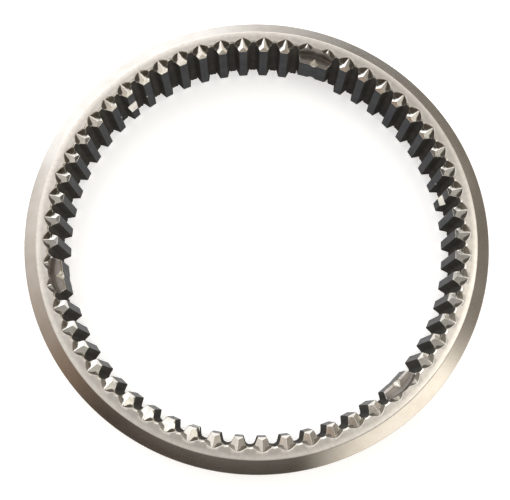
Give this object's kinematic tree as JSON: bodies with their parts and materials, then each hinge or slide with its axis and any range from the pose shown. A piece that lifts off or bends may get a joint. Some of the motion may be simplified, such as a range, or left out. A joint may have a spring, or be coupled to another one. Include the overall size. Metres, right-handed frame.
{
  "type": "gearbox sliding sleeve",
  "caption": "Steel gearbox sliding sleeve: a ring with pointed internal spline teeth, pocketed wide teeth, detent notches and an outer shift fork groove.",
  "frame": {"origin": "centre of the lower end face, on the axis of the ring", "axes": "+Z along the axis of the ring to the upper end face, +Y to the middle of one wide tooth"},
  "size_m": [0.162, 0.162, 0.022],
  "materials": {
    "steel": "ground and turned, darkened tooth flanks"
  },
  "bodies": {
    "root": {"sliding_sleeve": "steel"}
  },
  "joints": []
}
